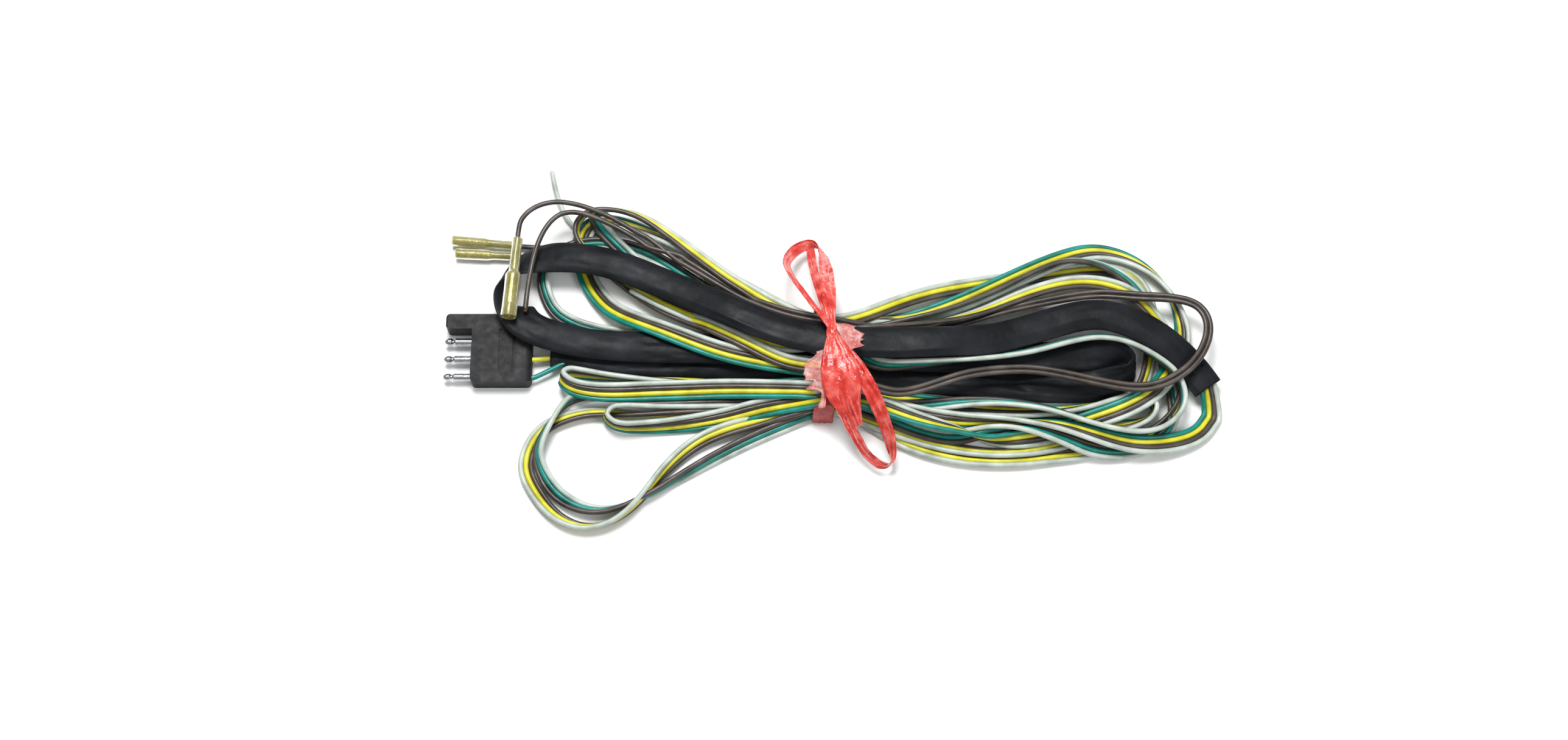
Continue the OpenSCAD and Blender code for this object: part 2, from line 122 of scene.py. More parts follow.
# The leg with the yellow conductor
YELLOW_LEG = [
    (182, -12, 19, 180), (162, -10, 18, 180), (142, 0, 16, 180), (122, 11, 14, 180),
    (102, 21, 11, 180), (85, 31, 9, 180), (68, 44, 7, 180), (54, 57, 6, 190),
    (46, 69, 6, 230), (50, 79, 8, 290), (63, 82, 10, 340), (81, 78, 11, 358),
    (98, 66, 12, 360), (115, 51, 14, 360), (132, 37, 15, 360), (152, 25, 16, 360),
    (175, 14, 18, 360), (190, 13, 19, 360), (206, 18, 17, 360), (226, 28, 13, 360),
    (248, 36, 10, 360), (276, 42, 7, 360), (304, 46, 5, 360), (330, 50, 4, 360),
    (350, 48, 4, 360), (360, 38, 4, 350), (364, 22, 3, 340), (362, 3, 2, 340),
    (357, -15, 2, 345), (346, -30, 2, 350), (329, -43, 2, 360), (309, -51, 3, 360),
    (286, -56, 4, 360), (260, -55, 5, 360), (234, -49, 6, 350), (211, -41, 8, 330),
    (188, -34, 10, 300), (165, -36, 7, 260), (146, -39, 6, 220), (129, -44, 6, 195),
    (113, -52, 6, 175), (98, -66, 6, 140), (86, -82, 6, 90), (71, -95, 5, 40),
    (55, -99, 5, 5), (40, -93, 5, 0), (29, -80, 5, -20), (23, -67, 6, -45),
    (25, -55, 7, -45), (32, -44, 7, -20), (44, -38, 6, 0), (58, -35, 3, 0),
    (79, -36, 2, -30), (109, -36, 2, -100), (142, -36, 2, -170), (166, -34, 2, -175),
    (188, -31, 3, -170), (208, -42, 3, -170), (230, -54, 3, -175), (256, -60, 3, -180),
    (282, -60, 3, -180), (306, -57, 3, -180), (325, -55, 3, -180), (345, -53, 2, -180),
    (363, -46, 2, -180), (374, -32, 2, -180), (378, -15, 3, -180), (374, 2, 5, -180),
    (364, 18, 8, -180), (351, 32, 10, -180), (332, 39, 11, -180), (312, 38, 11, -180),
    (291, 31, 11, -180), (271, 22, 11, -170), (250, 15, 13, -150), (218, 8, 15, -100),
    (188, 3, 17, -60), (165, -2, 16, -20), (141, 5, 14, 0), (117, 15, 13, 0),
    (96, 25, 12.5, 0), (78, 36, 12, 0),
]
# The leg with the green conductor
GREEN_LEG = [
    (182, -3, 16, 180), (162, 6, 15, 180), (144, 18, 11, 180), (120, 32, 9, 180),
    (98, 47, 9, 180), (79, 58, 8, 180), (62, 62, 7, 180), (45, 61, 5, 190),
    (34, 55, 5, 205), (28, 46, 5, 215), (29, 36, 4, 210), (34, 25, 3, 200),
    (43, 18, 3, 190), (57, 13, 2, 180), (76, 10, 2, 180), (98, 9, 2, 180),
    (132, 9, 2, 180), (165, 11, 4, 190), (184, 9, 8, 230), (197, 0, 15, 260),
    (210, -12, 15, 275), (237, -11, 14, 285), (266, -8, 14, 285), (293, -5, 15, 280),
    (313, 0, 15, 280), (331, 3, 15, 280), (349, 0, 15, 280), (364, -7, 14, 280),
    (374, -15, 12, 285), (378, -27, 10, 290), (374, -38, 9, 285), (362, -47, 9, 280),
    (346, -49, 10, 275), (328, -45, 11, 270), (312, -39, 11, 265), (296, -34, 11, 260),
    (276, -31, 11, 250), (257, -31, 10, 250), (234, -33, 8, 240), (211, -34, 8, 210),
    (188, -33, 9, 180), (165, -37, 8, 180), (145, -46, 7, 180), (123, -59, 6, 175),
    (103, -72, 6, 150), (87, -82, 5, 110), (71, -89, 5, 60), (55, -89, 5, 15),
    (40, -81, 5, 0), (31, -68, 6, -10), (29, -56, 8, -40), (35, -43, 8, -90),
    (42, -31, 6, -150), (51, -25, 4, -180), (69, -23, 3, -180), (99, -23, 3, -180),
    (132, -24, 3, -180), (165, -27, 5, -180), (188, -31, 12, -180), (211, -38, 10, -180),
    (230, -45, 9, -170), (250, -49, 9, -130), (266, -48, 11, -30), (282, -46, 12, 0),
    (298, -48, 11, 0), (313, -52, 9, -10), (326, -56, 6, -20), (345, -56, 3, -10),
    (362, -49, 2, 0), (372, -36, 2, 10), (371, -18, 2, 20), (367, -1, 3, 40),
    (363, 18, 5, 70), (354, 38, 8, 90), (336, 50, 10, 90), (316, 52, 12, 90),
    (299, 45, 13, 90), (278, 33, 13, 90), (251, 21, 14, 90), (224, 14, 14, 90),
    (188, 12, 11, 60), (165, 19, 9, 40), (132, 31, 7, 20), (105, 40, 7, 10),
    (85, 49, 8, 0), (72, 60, 9, 0), (61, 71, 9, -5), (56, 79, 8, -30),
    (60, 84, 7, -70),
]
# Two bonded brown leads: round the right end, through the tie, then out to the left
BROWN_PAIR = [
    (180, -20, 21, 0), (205, -25, 21, 0), (221, -29, 19, 0), (238, -25, 18, 0),
    (258, -18, 18, 0), (278, -15, 17, 0), (298, -15, 17, 0), (322, -20, 17, 0),
    (346, -25, 17, 0), (362, -24, 18, 0), (377, -16, 19, 0), (387, -4, 19, 0),
    (391, 10, 19, 0), (386, 22, 18, 0), (372, 27, 16, 0), (354, 29, 13, 0),
    (332, 32, 10, 0), (305, 28, 9, 0), (278, 22, 9, 0), (251, 14, 9, 0),
    (218, 11, 12, 0), (190, 12, 21, 0), (165, 17, 18, 0), (142, 27, 15, 0),
    (120, 41, 14, 0), (102, 52, 14, 0),
]
LEAD_OUTER = [
    (98, 56, 14.5, 0), (88, 61.5, 15, 0), (77, 67.5, 16.5, 0), (66, 73.5, 18.5, 0),
    (55, 78, 20, 0), (45, 80.5, 21.5, 0), (36, 81, 23, 0), (28, 79, 24, 0),
    (22, 75.5, 24.4, 0), (17.6, 70.5, 24.6, 0), (16.1, 65.5, 24.5, 0), (15.6, 58.5, 24.4, 0),
    (15.1, 51, 24.3, 0), (14.6, 44.5, 24.3, 0),
]
LEAD_INNER = [
    (98, 51, 14.5, 0), (88, 56.5, 14.8, 0), (76, 64.4, 16, 0), (62, 71.4, 18, 0),
    (49, 76, 19.4, 0), (38, 75, 20.6, 0), (30.6, 67, 21, 0), (26, 56, 21, 0),
    (23.2, 42, 21, 0), (21.4, 28, 20, 0), (20.8, 18, 19.5, 0),
]
LEAD_A = [
    (-4.3, 64.3, 3.8, 0), (4, 63.6, 3.8, 0), (13, 62.8, 3.8, 0), (20, 62.2, 3.8, 0),
    (29, 62, 3.8, 0), (38, 63, 3.8, 0), (50, 64, 3, 0), (70, 60, 1.6, 0),
    (98, 46, 1.6, 0), (130, 26, 1.6, 0), (160, 14, 3, 0), (182, 11, 4, 0),
]
LEAD_B = [
    (-2, 57.2, 3.8, 0), (6, 56.8, 3.8, 0), (15, 56.3, 3.8, 0), (22, 56, 3.6, 0),
    (31, 56.5, 3.4, 0), (40, 58, 3.4, 0), (52, 57, 2.4, 0), (70, 52, 1.6, 0),
    (98, 38, 1.6, 0), (130, 20, 1.6, 0), (160, 12, 3, 0), (182, 9, 5, 0),
]
GROUND = [
    (182, 12, 8, 0), (160, 17, 4, 0), (132, 29, 2, 0), (105, 44, 2, 0), (82, 56, 2, 0),
    (66, 64, 2.4, 0), (54, 70, 3.4, 0), (46, 73.5, 3.6, 0), (40, 80, 4.5, 0), (36, 88, 5.5, 0),
    (33, 97, 7, 0), (31, 106, 9, 0),
]

# ---------------------------------------------------------------- relaxing the bundle
# Lengths are in millimetres, and moves are for one round.
STEP = 6.0  # between a wire's stations
WIRE_R = WIRE_D / 2
TIE_LOW, TIE_HIGH = box_mm("tie_band")
TIE_WALL = 1.2
TIE_X = (TIE_LOW[0] + TIE_HIGH[0]) / 2
TIE_HALF = 11.0  # either side of TIE_X, where the tie gathers the wires
TIE_Y = (TIE_LOW[1] + TIE_WALL, TIE_HIGH[1] - TIE_WALL)
TIE_Z = (TIE_LOW[2] + TIE_WALL, TIE_HIGH[2] - TIE_WALL)
TIE_GRIP = 0.7  # share of a wire's way back inside the tie
REACH = 12.5  # stretches with their middles further apart don't touch
SEARCH_ROUNDS = 10  # rounds between two searches for touching pairs
SEARCH_BLOCK = 400
SELF_GAP = 6  # stations apart before a group can touch itself
SIDE_BY_SIDE = 0.92  # cosine above which two stretches run together
LIFT_CROSSING, LIFT_BESIDE = 3.0, 0.8  # how firmly the higher of two stays on top
MOST_PUSH = 1.2
TWIST_SHARE = 0.6
SINK = 0.05
SINK_ROUNDS = 0.75  # share of the rounds in which the bundle sinks
EVEN_OUT = 0.3  # share of a kink that its neighbours take
SMOOTHING = 24  # passes over a route's curve


def spline(points, step=STEP):
    """A smooth curve through the points, cut into equal steps."""
    p = np.array(points, float)
    p = np.vstack([2 * p[0] - p[1], p, 2 * p[-1] - p[-2]])
    u = np.linspace(0, 1, 12, endpoint=False)[:, None]
    dense = [
        (2 * b + (c - a) * u + (2 * a - 5 * b + 4 * c - d) * u**2 + (3 * b - a - 3 * c + d) * u**3) / 2
        for a, b, c, d in zip(p[:-3], p[1:-2], p[2:-1], p[3:])
    ]
    dense = np.vstack(dense + [p[-2:-1]])
    for _ in range(SMOOTHING):
        dense[1:-1] = dense[1:-1] / 2 + (dense[:-2] + dense[2:]) / 4
    return resample(dense, step)


def along(p):
    """Distance along a polyline at each of its points."""
    return np.concatenate([[0], np.cumsum(np.linalg.norm(np.diff(p[:, :3], axis=0), axis=1))])


def resample(p, step):
    """The same polyline in equal steps."""
    s = along(p)
    t = np.linspace(0, s[-1], max(2, int(round(s[-1] / step)) + 1))
    return np.stack([np.interp(t, s, p[:, k]) for k in range(p.shape[1])], axis=1)


def unit(v):
    """The vectors at length one."""
    return v / np.maximum(np.linalg.norm(v, axis=-1, keepdims=True), 1e-9)


def tangents(p):
    """The heading of a curve at each of its points."""
    return unit(np.gradient(p[:, :3], axis=0))


def laterals(route):
    """The across direction of a flat wire at each point of its route."""
    t = tangents(route)
    level = unit(np.stack([-t[:, 1], t[:, 0], np.zeros(len(t))], axis=1))
    roll = np.radians(route[:, 3:4])
    return level * np.cos(roll) + np.cross(t, level) * np.sin(roll)


class Group:
    """Conductors bonded side by side, or the sleeve as a row of stand-ins that never moves."""

    def __init__(self, name, points, count, radius=WIRE_R, pitch=WIRE_D, weight=1.0, hold=0.0,
                 fixed=False):
        route = spline(points)
        self.name, self.radius, self.fixed = name, radius, fixed
        self.weight, self.hold = weight, hold
        self.start = route[:, :3].copy()
        self.shift = np.zeros_like(self.start)
        self.across = laterals(route)
        self.offsets = (np.arange(count)[::-1] - (count - 1) / 2) * pitch

    def centre(self):
        return self.start + self.shift

    def wires(self):
        """Positions, stations by conductors by 3."""
        return self.centre()[:, None, :] + self.offsets[None, :, None] * self.across[:, None, :]


def close_pairs(mid, group_of, station_of, moving):
    """Indices of the stretches that are near each other and of which one can move."""
    first, second = [], []
    for low in range(0, len(mid), SEARCH_BLOCK):
        block = mid[low:low + SEARCH_BLOCK]
        d = ((block[:, None, :] - mid[None, :, :]) ** 2).sum(2)
        i, j = np.nonzero(d < REACH * REACH)
        i += low
        keep = (i < j) & (moving[i] | moving[j])
        keep &= ~((group_of[i] == group_of[j]) & (np.abs(station_of[i] - station_of[j]) < SELF_GAP))
        first.append(i[keep])
        second.append(j[keep])
    return np.concatenate(first), np.concatenate(second)


def nearest(p, dp, q, dq):
    """Shares along two sets of segments where they come closest."""
    r = p - q
    a, e = (dp * dp).sum(1), (dq * dq).sum(1)
    b, c, f = (dp * dq).sum(1), (dp * r).sum(1), (dq * r).sum(1)
    s = np.clip((b * f - c * e) / np.maximum(a * e - b * b, 1e-6), 0, 1)
    t = np.clip((b * s + f) / np.maximum(e, 1e-6), 0, 1)
    s = np.clip((b * t - c) / np.maximum(a, 1e-6), 0, 1)
    return s, t


def relax(groups, rounds):
    """Lets the groups settle on each other, on the floor and inside the tie."""
    offsets = np.cumsum([0] + [g.start.shape[0] * len(g.offsets) for g in groups])
    head, tail, radius, group_of, station_of, height, moving = [], [], [], [], [], [], []
    for n, g in enumerate(groups):
        stations, count = g.start.shape[0], len(g.offsets)
        index = offsets[n] + np.arange(stations * count).reshape(stations, count)
        head.append(index[:-1].ravel())
        tail.append(index[1:].ravel())
        size = (stations - 1) * count
        radius.append(np.full(size, g.radius))
        group_of.append(np.full(size, n))
        station_of.append(np.repeat(np.arange(stations - 1), count))
        height.append(np.repeat(g.start[:-1, 2], count))
        moving.append(np.full(size, not g.fixed))
    head, tail, radius, group_of, station_of, height, moving = map(
        np.concatenate, (head, tail, radius, group_of, station_of, height, moving))
    total = offsets[-1]
    for turn in range(rounds):
        points = np.concatenate([g.wires().reshape(-1, 3) for g in groups])
        p, dp = points[head], points[tail] - points[head]
        if turn % SEARCH_ROUNDS == 0:
            i, j = close_pairs((p + dp / 2).astype(np.float32), group_of, station_of, moving)
        s, t = nearest(p[i], dp[i], p[j], dp[j])
        gap = p[i] + dp[i] * s[:, None] - p[j] - dp[j] * t[:, None]
        far = np.linalg.norm(gap, axis=1)
        need = radius[i] + radius[j]
        hit = far < need
        a, b, s, t, gap, far, need = i[hit], j[hit], s[hit], t[hit], gap[hit], far[hit], need[hit]
        lift = height[a] - height[b]
        parallel = np.abs((unit(dp[a]) * unit(dp[b])).sum(1))
        push = gap / np.maximum(far, 1e-6)[:, None]
        firmness = np.where(parallel < SIDE_BY_SIDE, LIFT_CROSSING, LIFT_BESIDE)
        bias = firmness * np.clip(lift / 2, -1, 1)
        push[:, 2] += bias
        push = unit(push)
        amount = np.minimum(need - far, MOST_PUSH)[:, None] * push
        both = (moving[a] & moving[b])[:, None]
        share_a = np.where(both, 0.5, moving[a][:, None] * 1.0)
        share_b = np.where(both, 0.5, moving[b][:, None] * 1.0)
        force = np.zeros((total, 3))
        load = np.zeros(total)
        for node, w, sign in ((head[a], 1 - s, share_a), (tail[a], s, share_a),
                              (head[b], 1 - t, -share_b), (tail[b], t, -share_b)):
            for k in range(3):
                force[:, k] += np.bincount(node, w * (amount * sign)[:, k], total)
            load += np.bincount(node, w, total)
        force /= np.maximum(load, 1)[:, None]
        falling = turn < rounds * SINK_ROUNDS
        for n, g in enumerate(groups):
            if g.fixed:
                continue
            count = len(g.offsets)
            own = force[offsets[n]:offsets[n + 1]].reshape(-1, count, 3)
            wires = g.wires()
            near = np.abs(wires[:, :, 0] - TIE_X) < TIE_HALF
            for axis, (low, high) in ((1, TIE_Y), (2, TIE_Z)):
                v = wires[:, :, axis]
                inside = np.clip(v, low + g.radius, high - g.radius) - v
                own[:, :, axis] += np.where(near, inside, 0) * TIE_GRIP
            touched = np.maximum((np.abs(own).sum(2) > 1e-4).sum(1), 1)[:, None]
            g.shift += own.sum(1) / touched
            if count > 1:
                turnabout = (own * g.offsets[None, :, None]).sum(1) / (g.offsets**2).sum()
                g.across = g.across + turnabout * TWIST_SHARE
            if falling:
                g.shift[:, 2] -= SINK * g.weight
            g.shift *= 1 - g.hold
            for v in (g.shift, g.across):
                v[1:-1] += EVEN_OUT * (v[:-2] + v[2:] - 2 * v[1:-1])
            t = tangents(g.centre())
            g.across = unit(g.across - t * (g.across * t).sum(1, keepdims=True))
            low = g.wires()[:, :, 2].min(1) - g.radius
            g.shift[:, 2] += np.maximum(-low, 0)


SLEEVE_ROWS = 5
sleeve_group = Group("sleeve", SLEEVE, SLEEVE_ROWS, radius=SLEEVE_T / 2,
                     pitch=(SLEEVE_W - SLEEVE_T) / (SLEEVE_ROWS - 1), fixed=True)
trunk = Group("trunk", TRUNK, 4)
yellow_leg = Group("yellow_leg", YELLOW_LEG, 3)
green_leg = Group("green_leg", GREEN_LEG, 3)
brown_pair = Group("brown_pair", BROWN_PAIR, 2, weight=0.3, hold=0.02)
lead_outer = Group("lead_outer", LEAD_OUTER, 1, weight=0, hold=0.05)
lead_inner = Group("lead_inner", LEAD_INNER, 1, weight=0, hold=0.05)
lead_a = Group("lead_a", LEAD_A, 1, hold=0.05)
lead_b = Group("lead_b", LEAD_B, 1, hold=0.05)
ground = Group("ground", GROUND, 1, hold=0.02)
GROUPS = [sleeve_group, trunk, yellow_leg, green_leg, brown_pair, lead_outer, lead_inner, lead_a,
          lead_b, ground]
ROUNDS = 160
relax(GROUPS, ROUNDS)

# ---------------------------------------------------------------- tubes
RING_STEP = 2.0


def refine(p):
    """The same curve with points close together, smooth through the old ones."""
    q = np.vstack([2 * p[0] - p[1], p, 2 * p[-1] - p[-2]])
    u = np.linspace(0, 1, round(STEP / RING_STEP), endpoint=False)[None, :, None]
    a, b, c, d = (q[k:len(q) - 3 + k, None, :] for k in range(4))
    curve = (2 * b + (c - a) * u + (2 * a - 5 * b + 4 * c - d) * u**2 + (3 * b - a - 3 * c + d) * u**3) / 2
    return np.vstack([curve.reshape(-1, p.shape[1]), p[-1:]])


def carried_sides(p):
    """Two directions across a curve, carried along it without twist."""
    ahead = tangents(p)
    side = np.zeros_like(ahead)
    v = np.cross([0, 0, 1.0], ahead[0])
    if np.linalg.norm(v) < 0.1:
        v = np.array([1.0, 0, 0])
    for i, t in enumerate(ahead):
        v = v - t * v.dot(t)
        v = v / np.linalg.norm(v)
        side[i] = v
    return side, np.cross(ahead, side)


def link(name, mesh):
    """A new object in the scene."""
    piece = bpy.data.objects.new(name, mesh)
    bpy.context.scene.collection.objects.link(piece)
    return piece


def skin(name, rings, capped=True):
    """A smooth skin over rings of points, ring count by side count by 3, in millimetres."""
    count, sides = rings.shape[:2]
    index = np.arange(count * sides).reshape(count, sides)
    turned = np.roll(index, -1, axis=1)
    faces = np.stack([index[:-1], turned[:-1], turned[1:], index[1:]], axis=-1).reshape(-1, 4).tolist()
    if capped:
        faces += [index[0][::-1].tolist(), index[-1].tolist()]
    mesh = bpy.data.meshes.new(name)
    mesh.from_pydata((rings.reshape(-1, 3) * MM).tolist(), [], faces)
    mesh.shade_smooth()
    return link(name, mesh)


def round_rings(p, radius, sides=12):
    side, face = carried_sides(p)
    a = np.linspace(0, 2 * math.pi, sides, endpoint=False)[None, :, None]
    around = np.cos(a) * side[:, None, :] + np.sin(a) * face[:, None, :]
    return p[:, None, :] + around * np.broadcast_to(radius, len(p))[:, None, None]


def wire_skin(name, p, radius=WIRE_R):
    """A round insulated wire whose cut ends have a small soft edge."""
    edge = 0.25
    rings = round_rings(p, radius)
    ends = [p[k] + (rings[k] - p[k]) * (1 - edge) for k in (0, -1)]
    ahead = tangents(p)
    rings[0] += ahead[0] * edge
    rings[-1] -= ahead[-1] * edge
    return skin(name, np.concatenate([[ends[0]], rings, [ends[1]]]))


# ---------------------------------------------------------------- materials


def finish_of(name, tones, mottle, rough, relief, **fixed):
    """A surface whose colour and roughness wander, with relief as (scale, depth in metres) pairs."""
    material = bpy.data.materials.new(name)
    material.use_nodes = True
    nodes, links = material.node_tree.nodes, material.node_tree.links
    shader = nodes["Principled BSDF"]
    place = nodes.new("ShaderNodeTexCoord").outputs["Object"]

    def cloud(scale, detail):
        texture = nodes.new("ShaderNodeTexNoise")
        texture.inputs["Scale"].default_value = scale
        texture.inputs["Detail"].default_value = detail
        links.new(place, texture.inputs["Vector"])
        return texture.outputs["Fac"]

    ramp = nodes.new("ShaderNodeValToRGB")
    links.new(cloud(mottle, 6), ramp.inputs["Fac"])
    while len(ramp.color_ramp.elements) < len(tones):
        ramp.color_ramp.elements.new(0.5)
    for k, (element, tone) in enumerate(zip(ramp.color_ramp.elements, tones)):
        element.position = 0.3 + 0.4 * k / max(len(tones) - 1, 1)
        element.color = (*tone, 1)
    links.new(ramp.outputs["Color"], shader.inputs["Base Color"])

    spread = nodes.new("ShaderNodeMapRange")
    spread.inputs["From Min"].default_value = 0.3
    spread.inputs["From Max"].default_value = 0.7
    spread.inputs["To Min"].default_value = rough[0]
    spread.inputs["To Max"].default_value = rough[1]
    links.new(cloud(mottle * 2.3, 5), spread.inputs["Value"])
    links.new(spread.outputs["Result"], shader.inputs["Roughness"])

    normal = None
    for scale, depth in relief:
        bump = nodes.new("ShaderNodeBump")
        bump.inputs["Distance"].default_value = depth
        bump.inputs["Strength"].default_value = 1
        links.new(cloud(scale, 3), bump.inputs["Height"])
        if normal:
            links.new(normal, bump.inputs["Normal"])
        normal = bump.outputs["Normal"]
    links.new(normal, shader.inputs["Normal"])
    for socket, value in fixed.items():
        shader.inputs[socket.replace("_", " ")].default_value = value
    return material


def pvc(name, tones):
    return finish_of(name, tones, 90, (0.3, 0.5), [(260, 0.00012), (1900, 0.00002)],
                     Specular_IOR_Level=0.5)


MATERIALS = {
    "moulded_rubber": finish_of(
        "moulded_rubber", [(0.008, 0.008, 0.009), (0.013, 0.013, 0.014), (0.02, 0.02, 0.022)], 110,
        (0.5, 0.7), [(2600, 0.00005), (700, 0.00004), (90, 0.00008)], Specular_IOR_Level=0.25),
    "carrier_plastic": finish_of(
        "carrier_plastic", [(0.02, 0.02, 0.022), (0.035, 0.035, 0.037)], 140, (0.4, 0.6),
        [(1800, 0.00003)]),
    "tinned_brass": finish_of(
        "tinned_brass", [(0.5, 0.47, 0.38), (0.68, 0.66, 0.6), (0.78, 0.77, 0.73)], 180, (0.14, 0.34),
        [(900, 0.00004), (200, 0.0001)], Metallic=1.0),
    "bright_pin": finish_of(
        "bright_pin", [(0.42, 0.43, 0.45), (0.6, 0.61, 0.63)], 260, (0.08, 0.24),
        [(1400, 0.00002), (300, 0.00005)], Metallic=1.0),
    "white_pvc": pvc("white_pvc", [(0.27, 0.31, 0.27), (0.4, 0.45, 0.4), (0.5, 0.55, 0.5)]),
    "brown_pvc": pvc("brown_pvc", [(0.022, 0.016, 0.013), (0.045, 0.034, 0.028), (0.072, 0.056, 0.047)]),
    "yellow_pvc": pvc("yellow_pvc", [(0.4, 0.36, 0.006), (0.56, 0.52, 0.016), (0.66, 0.63, 0.05)]),
    "green_pvc": pvc("green_pvc", [(0.0, 0.1, 0.08), (0.0, 0.17, 0.135), (0.003, 0.23, 0.21)]),
    "copper": finish_of("copper", [(0.6, 0.25, 0.12), (0.85, 0.45, 0.28)], 700, (0.25, 0.45),
                        [(2500, 0.00003)], Metallic=1.0),
    "black_sleeve": finish_of(
        "black_sleeve", [(0.005, 0.0055, 0.0065), (0.009, 0.01, 0.012), (0.015, 0.016, 0.02)], 45,
        (0.36, 0.54), [(60, 0.0008), (420, 0.00006), (2400, 0.00002)], Specular_IOR_Level=0.1),
    "clear_vinyl": finish_of(
        "clear_vinyl", [(0.4, 0.37, 0.12), (0.54, 0.5, 0.2), (0.64, 0.6, 0.3)], 110, (0.1, 0.28),
        [(170, 0.0003), (900, 0.00005)], Transmission_Weight=0.74, IOR=1.38),
    "red_film": finish_of(
        "red_film", [(0.44, 0.012, 0.008), (0.62, 0.045, 0.032), (0.76, 0.17, 0.14)], 150, (0.12, 0.28),
        [(300, 0.0005), (1500, 0.00006)], Transmission_Weight=0.15, IOR=1.45),
    # A darker copy of red_film for the band: partly the extra layers of film, partly painted shade where the
    # band lies in shadow.
    "layered_film_painted_shade": finish_of(
        "layered_film_painted_shade", [(0.2, 0.004, 0.003), (0.34, 0.012, 0.009), (0.46, 0.03, 0.022)], 170, (0.2, 0.4),
        [(300, 0.0005), (1500, 0.00006)], IOR=1.45),
    "frayed_film": finish_of(
        "frayed_film", [(0.6, 0.1, 0.08), (0.74, 0.28, 0.25), (0.84, 0.55, 0.52)], 240, (0.14, 0.34),
        [(420, 0.0006), (1600, 0.0001)], Alpha=0.5, IOR=1.45),
}


def wear(piece, slot, material=None):
    """Gives a piece the finish of one of the record's slots."""
    piece.data.materials.append(MATERIALS[material or slot])
    return piece


for node, slot in (
    ("connector_body", "moulded_rubber"), ("terminal_carrier", "carrier_plastic"),
    ("socket_terminal", "tinned_brass"), ("pin_brown", "bright_pin"), ("pin_yellow", "bright_pin"),
    ("pin_green", "bright_pin"),
):
    mesh = frame["nodes"][node].data
    mesh.materials.clear()
    mesh.materials.append(MATERIALS[slot])

# ---------------------------------------------------------------- conductors
CONTACTS = {"green": "pin_green", "yellow": "pin_yellow", "brown": "pin_brown", "white": "socket"}
REAR_X = box_mm("connector_body")[1][0]
COPPER_R = 0.85
STRAND_R = COPPER_R / 3
STRAND_OUT = 0.35
STRAND_IN = 2


def conductor(name, colour, curves, replaced=(), bare=()):
    """One insulated wire, with copper strands showing at its bare ends (0 first, -1 last)."""
    p = refine(np.concatenate(curves))
    p[:, 2] = np.maximum(p[:, 2], WIRE_R)
    piece = wear(wire_skin(name, p), colour + "_pvc")
    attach(piece, HARNESS)
    if replaced:
        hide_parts(*replaced)
    for end in bare:
        strands(f"{name}_copper_{'end' if end else 'start'}", p, end)
    return piece, p


def strands(name, p, end):
    """Seven copper strands standing just out of a cut end."""
    line = p[:4][::-1] if end == 0 else p[-4:]
    ahead = unit(line[-1] - line[-2])
    line = np.array([line[-1] - ahead * STRAND_IN, line[-1], line[-1] + ahead * STRAND_OUT])
    side, face = carried_sides(line)
    spots = [(0, 0)] + [(2 * STRAND_R, math.radians(60 * k)) for k in range(6)]
    rings = [
        round_rings(line + (side * math.cos(turn) + face * math.sin(turn)) * out, STRAND_R, 8)
        for out, turn in spots
    ]
    bundle = joined(name, [skin(f"{name}_{k}", ring) for k, ring in enumerate(rings)])
    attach(wear(bundle, "tinned_brass", "copper"), HARNESS)


def joined(name, parts):
    """One piece out of several meshes, which are removed."""
    form = bmesh.new()
    for part in parts:
        form.from_mesh(part.data)
        mesh = part.data
        bpy.data.objects.remove(part)
        bpy.data.meshes.remove(mesh)
    mesh = bpy.data.meshes.new(name)
    form.to_mesh(mesh)
    form.free()
    return link(name, mesh)


for k, (colour, contact) in enumerate(CONTACTS.items()):
    _, contact_y, contact_z = np.array(MOUNTS[contact]["pos_m"]) / MM
    inside = sleeve_group.centre() - sleeve_group.across * trunk.offsets[k]
    lead_in = np.array([(REAR_X + x, contact_y, contact_z) for x in (-5, -1, 2)])
    conductor(
        colour + "_conductor", colour, [lead_in, inside[2:], trunk.wires()[2:, k]], ["wire_" + colour])
YELLOW_LEG_COLOURS = ("white", "yellow", "brown")
GREEN_LEG_COLOURS = ("brown", "green", "white")
for group, colours in ((yellow_leg, YELLOW_LEG_COLOURS), (green_leg, GREEN_LEG_COLOURS)):
    for k, colour in enumerate(colours):
        name = group.name + "_" + colour
        conductor(name, colour, [group.wires()[:, k]], bare=[-1])
for k, lead in enumerate((lead_outer, lead_inner)):
    conductor(
        lead.name + "_wire", "brown", [brown_pair.wires()[:, k], lead.wires()[2:, 0]], [lead.name],
        bare=[-1] if lead is lead_inner else [])
for lead, name, colour, node, bare in (
    (lead_a, "lead_a_wire", "brown", "lead_a", []),
    (lead_b, "lead_b_wire", "brown", "lead_b", []),
    (ground, "ground_lead", "white", "ground_wire", [-1]),
):
    conductor(name, colour, [lead.wires()[:, 0]], [node], bare=bare)
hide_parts("hank_left_north", "hank_right_north", "stray_loop")
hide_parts("hank_left_south", "hank_right_south", "hank_waist")
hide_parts("brown_loop")

# ---------------------------------------------------------------- sleeve
SLEEVE_WALL = 0.4
MOUTH_DEEP = 12.0
SLEEVE_SIDES = 44
LOW_RUN_Z = 12  # the bottom run lies below this
TOP_RUN_Z = 14  # and the top run above this
FOLDS_X, FOLDS_LONG = 85, 35  # where the bottom run is most crumpled, and over what length
END_OPEN, END_LONG = 0.9, 9  # how far the cut end stands open, and over what length
CREASE_X = (60, 360)
CREASE_HIGH, CREASE_WIDE = 0.55, 0.1
BUNCH_XY, BUNCH_LONG = (17, 16), 8  # where the tube folds north beside the connector
BUNCH_OUT, BUNCH_HIGH = 3.2, 1.0


